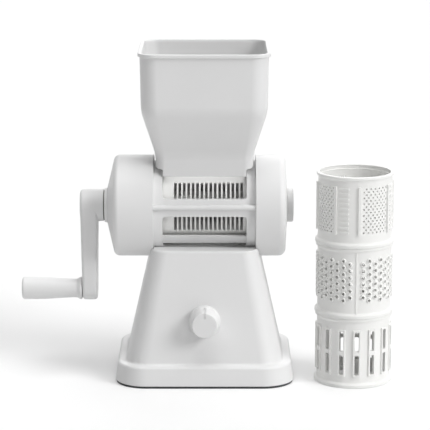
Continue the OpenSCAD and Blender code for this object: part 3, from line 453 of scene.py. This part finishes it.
class SlicerStage(bpy.types.PropertyGroup):
    """Camera and lights of the studio."""

    camera_distance: bpy.props.FloatProperty(
        name="Camera distance", description="Distance of the camera in front of the drum axis",
        default=1.95, subtype="DISTANCE", unit="LENGTH")
    camera_height: bpy.props.FloatProperty(
        name="Camera height", description="Height of the camera above the worktop",
        default=0.5544, subtype="DISTANCE", unit="LENGTH")
    camera_side: bpy.props.FloatProperty(
        name="Camera side", description="Offset of the camera towards the drum end",
        default=0.0098, subtype="DISTANCE", unit="LENGTH")
    camera_pitch: bpy.props.FloatProperty(
        name="Camera pitch", description="Downward tilt of the camera",
        default=math.radians(11.679), subtype="ANGLE", unit="ROTATION")
    lens: bpy.props.FloatProperty(
        name="Lens", description="Focal length on a 36 mm sensor, in millimetres",
        default=175.27, subtype="DISTANCE_CAMERA", unit="CAMERA")
    side_strength: bpy.props.FloatProperty(
        name="Side strength", description="Strength of the key light on the drum end's side",
        default=1.68, min=0.0, max=10.0)
    top_strength: bpy.props.FloatProperty(
        name="Top strength", description="Strength of the light overhead",
        default=1.72, min=0.0, max=10.0)
    back_strength: bpy.props.FloatProperty(
        name="Back strength", description="Strength of the weak light behind",
        default=0.7, min=0.0, max=10.0)
    side_spread: bpy.props.FloatProperty(
        name="Side spread", description="Angle that the key light fills, which softens its shadows",
        default=math.radians(28), subtype="ANGLE", unit="ROTATION")
    top_spread: bpy.props.FloatProperty(
        name="Top spread", description="Angle that the lights overhead and behind fill",
        default=math.radians(52), subtype="ANGLE", unit="ROTATION")
    ambient: bpy.props.FloatProperty(
        name="Ambient", description="Strength of the white room light",
        default=0.12, min=0.0, max=2.0)
    floor_lift: bpy.props.FloatProperty(
        name="Floor lift", description="Glow that takes the lit floor to white",
        default=0.16, min=0.0, max=0.6)


class SLICER_OT_mould_stand(bpy.types.Operator):
    """Mould the stand's shell with filleted edges in place of its CAD solid"""

    bl_idname = "slicer.mould_stand"
    bl_label = "Mould stand"

    def execute(self, context):
        mould = context.scene.slicer_mould
        edge, foot_edge, top_edge = mould.plinth_edge, mould.foot_edge, mould.tower_edge
        low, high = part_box("base_shell")
        wall, draft, ledge, cove = 3 * MM, 2 * MM, 8.7 * MM, 2.5 * MM
        plinth_h, plinth_r, tower_foot_r = 18 * MM, 30 * MM, 22 * MM
        plinth_top = low.z + plinth_h
        plinth = (high.x - low.x, high.y - low.y, plinth_r)
        drafted = (plinth[0] - 2 * draft, plinth[1] - 2 * draft, plinth[2] - draft)
        tower_foot = (drafted[0] - 2 * ledge, drafted[1] - 2 * ledge, tower_foot_r)
        tower_top = (101 * MM, 92 * MM, 16 * MM)
        turns = quarter_turn(6)
        skin = [drawn_in(plinth, foot_edge * (1 - math.sin(a)), low.z + foot_edge * (1 - math.cos(a)))
                for a in turns]
        skin += [drawn_in(drafted, edge * (1 - math.cos(a)), plinth_top - edge * (1 - math.sin(a)))
                 for a in turns]
        skin += [drawn_in(tower_foot, -cove * (1 - math.sin(a)), plinth_top + cove * (1 - math.cos(a)))
                 for a in turns]
        skin += [drawn_in(tower_top, top_edge * (1 - math.cos(a)), high.z - top_edge * (1 - math.sin(a)))
                 for a in turns]
        stand = lofted("base_shell_moulding", skin)

        cover_gap = 1.3 * SEAT_GAP
        cover_room = COVER_R + cover_gap
        ceiling, roof = plinth_top - wall, AXIS_Z - cover_room - wall
        hollow = lofted("stand_hollow", [
            drawn_in(plinth, wall, low.z - CUT_PAST), drawn_in(plinth, wall + draft, ceiling),
            drawn_in(tower_foot, wall, ceiling), drawn_in(tower_foot, wall, plinth_top),
            drawn_in(tower_top, wall, roof)])
        bush_low, bush_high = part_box("knob_bush")
        knob_z = (bush_low.z + bush_high.z) / 2
        boss_inset, bush_gap, bore_past = 0.6 * MM, 0.06 * MM, 5 * MM
        boss_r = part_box("suction_knob")[1].x - boss_inset
        bore_r = bush_high.x + bush_gap
        steps = [("DIFFERENCE", hollow),
                 ("UNION", rod("knob_boss", (0, bush_low.y, knob_z), (0, bush_high.y, knob_z), boss_r))]
        head_r, post_r = 3.2 * MM, 4.2 * MM
        screw_x, screw_y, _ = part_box("base_screws")[1] - Vector((head_r, head_r, 0))
        post_low, post_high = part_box("base_plate")[0].z + wall, plinth_top - wall / 2
        for x in (-screw_x, screw_x):
            for y in (-screw_y, screw_y):
                post = rod("plate_post", (x, y, post_low), (x, y, post_high), post_r, POST_SEGMENTS)
                steps.append(("UNION", post))
        reach = 2.5 * CAGE_END
        steps.append(("DIFFERENCE", along_drum("saddle", -reach, reach, SADDLE_R)))
        for side in (-1, 1):
            inner, outer = side * (CAGE_END - SEAT_GAP), side * reach
            steps.append(("DIFFERENCE", along_drum("cover_room", inner, outer, cover_room)))
        bore_front, bore_back = (0, bush_low.y - bore_past, knob_z), (0, bush_high.y + bore_past, knob_z)
        steps.append(("DIFFERENCE", rod("knob_bore", bore_front, bore_back, bore_r, BORE_SEGMENTS)))
        fit(smooth_shaded(carved(stand, steps)), "stand", "base_shell")
        return {"FINISHED"}


class SLICER_OT_mould_hopper(bpy.types.Operator):
    """Mould the hopper with soft breaks, a rolled rim and a rounded skirt in place of its CAD solid"""

    bl_idname = "slicer.mould_hopper"
    bl_label = "Mould hopper"

    def execute(self, context):
        mould = context.scene.slicer_mould
        rim_edge, skirt_edge = mould.rim_edge, mould.skirt_edge
        low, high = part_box("hopper")
        wall, rim_out, rim_h, draft = 2.4 * MM, 1.8 * MM, 3.4 * MM, 1.8 * MM
        rim_z = high.z - rim_h
        lip_z, skirt_z = AXIS_Z + 33 * MM, AXIS_Z + 39.7 * MM
        neck_z, break_z = AXIS_Z + 53.4 * MM, AXIS_Z + 96.4 * MM
        neck_w, neck_d, neck_r, flare = 90.6 * MM, 58 * MM, 9 * MM, 1.5 * MM
        upper_r, break_reach, rim_flatness = 16 * MM, 6 * MM, 6
        upper = (high.x - low.x - 2 * rim_out, high.y - low.y - 2 * rim_out, upper_r)
        stations = [
            (neck_w, neck_d, neck_r, lip_z), (neck_w + flare, neck_d + flare, neck_r, neck_z),
            (upper[0] - draft, upper[1] - draft, upper[2], break_z), (*upper, rim_z)]
        curve = softened(stations, break_reach)
        rolled = quarter_turn(3)
        skin = [rounded_ring(*station) for station in curve]
        for a in rolled:
            rise = rim_out * (1 - math.cos(a)) / rim_flatness
            skin.append(drawn_in(upper, -rim_out * math.sin(a), rim_z + rise))
        for a in rolled:
            fall = rim_edge * (1 - math.sin(a))
            skin.append(drawn_in(upper, -rim_out + rim_edge * (1 - math.cos(a)), high.z - fall))
        hopper = lofted("hopper_moulding", skin)

        throat_half, throat_wall, throat_r = 39 * MM, 2 * MM, 2 * MM
        throat_past, throat_rise, rim_past = 5 * MM, 8 * MM, CUT_PAST / 5
        throat = (2 * (throat_half - throat_wall), neck_d - 2 * wall, throat_r)
        inside = [drawn_in(throat, 0, lip_z - throat_past), drawn_in(throat, 0, skirt_z)]
        inside += [drawn_in(station[:3], wall, station[3])
                   for station in curve if station[3] > skirt_z + throat_rise]
        inside.append(drawn_in(upper, wall - rim_edge, high.z - rim_edge))
        inside.append(drawn_in(upper, wall - 2 * rim_edge, high.z + rim_past))
        funnel = lofted("hopper_funnel", inside)

        reach = 2 * CAGE_END
        steps = [("DIFFERENCE", along_drum("hopper_saddle", -reach, reach, SADDLE_R))]
        corner_x, inner_round = neck_w / 2 + flare / 2 - skirt_edge, 1.5 * MM
        cut_low = lip_z - reach / 4
        turns = quarter_turn(6)
        profile = [(throat_half, cut_low)]
        for a in turns:
            x = throat_half + inner_round * (1 - math.cos(a))
            profile.append((x, skirt_z - inner_round * (1 - math.sin(a))))
        for a in turns:
            x = corner_x + skirt_edge * math.sin(a)
            profile.append((x, skirt_z + skirt_edge * (1 - math.cos(a))))
        profile += [(reach, skirt_z + skirt_edge), (reach, cut_low)]
        for side in (-1, 1):
            ends = [[Vector((side * x, y, z)) for x, z in profile] for y in (-neck_d, neck_d)]
            steps.append(("DIFFERENCE", lofted("skirt_cut", ends)))
        cheek_inset = 5.1 * MM
        drum_room = SADDLE_R - cheek_inset
        cheek_front, cheek_back, cheek_top = -neck_d / 2 + wall / 2, neck_d / 2 - wall, skirt_z + CUT_PAST
        for side in (-1, 1):
            near, far = sorted((side * (throat_half - throat_wall), side * throat_half))
            cheek = block("throat_cheek", (near, cheek_front, lip_z), (far, cheek_back, cheek_top))
            carved(cheek, [("DIFFERENCE", along_drum("drum_room", -reach, reach, drum_room))])
            steps.append(("UNION", cheek))
        steps.append(("DIFFERENCE", funnel))
        fit(smooth_shaded(carved(hopper, steps)), "hopper", "hopper")
        return {"FINISHED"}


class SLICER_OT_turn_crank_screw(bpy.types.Operator):
    """Turn the crank's pan-head screw with its cross recess in place of the plain CAD screw"""

    bl_idname = "slicer.turn_crank_screw"
    bl_label = "Turn crank screw"

    def execute(self, context):
        low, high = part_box("crank_screw")
        head_r, head_h, shank_r, point_len = high.y, 3.6 * MM, 2.5 * MM, 1.2 * MM
        point_r = 0.7 * shank_r
        # The pan head's dome, in shares of its height and radius
        dome = [(0.0, 0.35), (0.12, 0.62), (0.3, 0.82), (0.55, 0.95), (0.85, 1.0), (1.0, 0.99)]
        rings = [round_ring(low.x + share * head_h, radius * head_r) for share, radius in dome]
        rings += [round_ring(low.x + head_h, shank_r), round_ring(high.x - point_len, shank_r),
                  round_ring(high.x, point_r)]
        screw = lofted("crank_screw_moulding", rings)
        half_w, half_l, depth = 0.6 * MM, 2.9 * MM, 1.7 * MM
        steps = []
        for half_y, half_z in ((half_w, half_l), (half_l, half_w)):
            recess_low = (low.x - CUT_PAST, -half_y, AXIS_Z - half_z)
            recess_high = (low.x + depth, half_y, AXIS_Z + half_z)
            steps.append(("DIFFERENCE", block("cross_recess", recess_low, recess_high)))
        fit(smooth_shaded(carved(screw, steps)), "crank", "crank_screw")
        return {"FINISHED"}


class SLICER_OT_dress_body(bpy.types.Operator):
    """Give the stand, housing, crank, hopper and lock knob their moulded ABS"""

    bl_idname = "slicer.dress_body"
    bl_label = "Dress body mouldings"

    def execute(self, context):
        finish = context.scene.slicer_finish
        # ABS takes an even satin from the mould and is a clean, neutral white
        dress(BODY, moulded_plastic(
            "moulded_white_ABS", finish.body_colour, finish.body_roughness,
            grain=1.1 * MM, edge=finish.body_edge))
        return {"FINISHED"}


class SLICER_OT_dress_drums(bpy.types.Operator):
    """Give the drums their moulded polypropylene"""

    bl_idname = "slicer.dress_drums"
    bl_label = "Dress drums"

    def execute(self, context):
        finish = context.scene.slicer_finish
        # Polypropylene is whiter and a little glossier, with sharp edges round the cuts
        dress(DRUMS, moulded_plastic(
            "moulded_white_polypropylene", finish.drum_colour, finish.drum_roughness,
            grain=0.9 * MM, edge=finish.drum_edge))
        return {"FINISHED"}


class SLICER_OT_dress_bearings(bpy.types.Operator):
    """Give the bushes, cam and stem their natural acetal"""

    bl_idname = "slicer.dress_bearings"
    bl_label = "Dress bearings"

    def execute(self, context):
        finish = context.scene.slicer_finish
        # Acetal without pigment is waxy, smooth and faintly yellow
        dress(BEARINGS, moulded_plastic(
            "natural_acetal", finish.bearing_colour, roughness=0.34,
            grain=0.8 * MM, edge=finish.drum_edge))
        return {"FINISHED"}


class SLICER_OT_dress_metalwork(bpy.types.Operator):
    """Give the shafts, pins and screws their turned stainless steel, and the washer a dark steel painted as
    the shade in its gap
    """

    bl_idname = "slicer.dress_metalwork"
    bl_label = "Dress metalwork"

    def execute(self, context):
        finish = context.scene.slicer_finish
        # Water leaves the stainless pieces with pale stains
        dress(METALWORK, turned_steel(
            "turned_stainless_steel", finish.steel_colour, stain_colour=linear("#d3d5d6"), roughness=0.32))
        # Grease that holds dust makes the rubbing washer dark and dull
        # The washer is painted dark and made dull: painted shade for the gap between the crank hub and the
        # cover
        dress(PAINTED_SHADE_STEEL, turned_steel(
            "shade_darkened_steel", finish.washer_shade_colour, stain_colour=linear("#6b6a67"), roughness=0.52))
        return {"FINISHED"}


class SLICER_OT_dress_rubber(bpy.types.Operator):
    """Give the suction pad its moulded rubber, and the foot ring the same dark rubber, which also stands in
    for the contact shadow under the plinth as painted shade
    """

    bl_idname = "slicer.dress_rubber"
    bl_label = "Dress rubber"

    def execute(self, context):
        dress(RUBBER_AND_SHADE_RING, moulded_rubber("black_rubber_and_painted_shade", context.scene.slicer_finish.rubber_and_shade_colour))
        return {"FINISHED"}


class SLICER_OT_set_stage(bpy.types.Operator):
    """Set the floor, room, lights and camera"""

    bl_idname = "slicer.set_stage"
    bl_label = "Set stage"

    def execute(self, context):
        scene = context.scene
        stage = scene.slicer_stage
        scene.view_settings.view_transform = "Standard"

        floor_half, lamp_distance = 6.0, 2.0
        shape = bmesh.new()
        corners = ((-1, -1), (1, -1), (1, 1), (-1, 1))
        shape.faces.new([shape.verts.new((floor_half * x, floor_half * y, 0.0)) for x, y in corners])
        floor = new_object("floor", shape)
        floor.data.materials.append(studio_paper("matt_white_paper", linear("#e8e8e8"), stage.floor_lift))

        scene.world = bpy.data.worlds.new("studio")
        scene.world.use_nodes = True
        tree = scene.world.node_tree
        tree.nodes.clear()
        room = add_node(tree, "ShaderNodeBackground", {"Color": WHITE, "Strength": stage.ambient})
        white = add_node(tree, "ShaderNodeBackground", {"Color": WHITE, "Strength": 1.0})
        mixed = add_node(
            tree, "ShaderNodeMixShader", None,
            {0: seen_rays(tree), 1: room.outputs["Background"], 2: white.outputs["Background"]})
        add_node(tree, "ShaderNodeOutputWorld", None, {"Surface": mixed.outputs["Shader"]})

        lights = (
            ("side_light", stage.side_strength, stage.side_spread, Vector((0.74, -0.5, 0.52))),
            ("top_light", stage.top_strength, stage.top_spread, Vector((0.07, -0.11, 0.99))),
            ("back_light", stage.back_strength, stage.top_spread, Vector((0.1, 0.8, 0.58))))
        for name, strength, spread, towards in lights:
            lamp = bpy.data.lights.new(name, "SUN")
            lamp.energy = strength
            lamp.angle = spread
            light = bpy.data.objects.new(name, lamp)
            light.location = lamp_distance * towards
            light.rotation_euler = (-towards).to_track_quat("-Z", "Y").to_euler()
            scene.collection.objects.link(light)

        camera = bpy.data.cameras.new("camera")
        camera.lens = stage.lens
        camera.sensor_width = SENSOR_WIDTH
        camera.clip_end = 50.0
        eye = bpy.data.objects.new("camera", camera)
        eye.location = (stage.camera_side, -stage.camera_distance, stage.camera_height)
        eye.rotation_euler = (math.pi / 2 - stage.camera_pitch, 0.0, 0.0)
        scene.collection.objects.link(eye)
        scene.camera = eye
        return {"FINISHED"}


class SLICER_PT_finish(bpy.types.Panel):
    """Sidebar panel with the slicer's mouldings, finishes and stage"""

    bl_idname = "SLICER_PT_finish"
    bl_label = "Vegetable slicer"
    bl_space_type = "VIEW_3D"
    bl_region_type = "UI"
    bl_category = "Slicer"

    def draw(self, context):
        scene = context.scene
        for group in (scene.slicer_mould, scene.slicer_finish, scene.slicer_stage):
            for key in group.__annotations__:
                self.layout.prop(group, key)
        for operator in OPERATORS:
            self.layout.operator(operator.bl_idname)


OPERATORS = (
    SLICER_OT_mould_stand, SLICER_OT_mould_hopper, SLICER_OT_turn_crank_screw,
    SLICER_OT_dress_body, SLICER_OT_dress_drums, SLICER_OT_dress_bearings,
    SLICER_OT_dress_metalwork, SLICER_OT_dress_rubber, SLICER_OT_set_stage,
)
CLASSES = (SlicerMould, SlicerFinish, SlicerStage) + OPERATORS + (SLICER_PT_finish,)


def register():
    """Registers the classes and hangs their settings on the scene."""
    for cls in CLASSES:
        bpy.utils.register_class(cls)
    bpy.types.Scene.slicer_mould = bpy.props.PointerProperty(type=SlicerMould)
    bpy.types.Scene.slicer_finish = bpy.props.PointerProperty(type=SlicerFinish)
    bpy.types.Scene.slicer_stage = bpy.props.PointerProperty(type=SlicerStage)


def unregister():
    """Takes the settings off the scene and the classes out again."""
    del bpy.types.Scene.slicer_stage
    del bpy.types.Scene.slicer_finish
    del bpy.types.Scene.slicer_mould
    for cls in reversed(CLASSES):
        bpy.utils.unregister_class(cls)


def main():
    """Runs every operator in order."""
    register()
    bpy.ops.slicer.mould_stand()
    bpy.ops.slicer.mould_hopper()
    bpy.ops.slicer.turn_crank_screw()
    bpy.ops.slicer.dress_body()
    bpy.ops.slicer.dress_drums()
    bpy.ops.slicer.dress_bearings()
    bpy.ops.slicer.dress_metalwork()
    bpy.ops.slicer.dress_rubber()
    bpy.ops.slicer.set_stage()


if __name__ == "__main__":
    main()
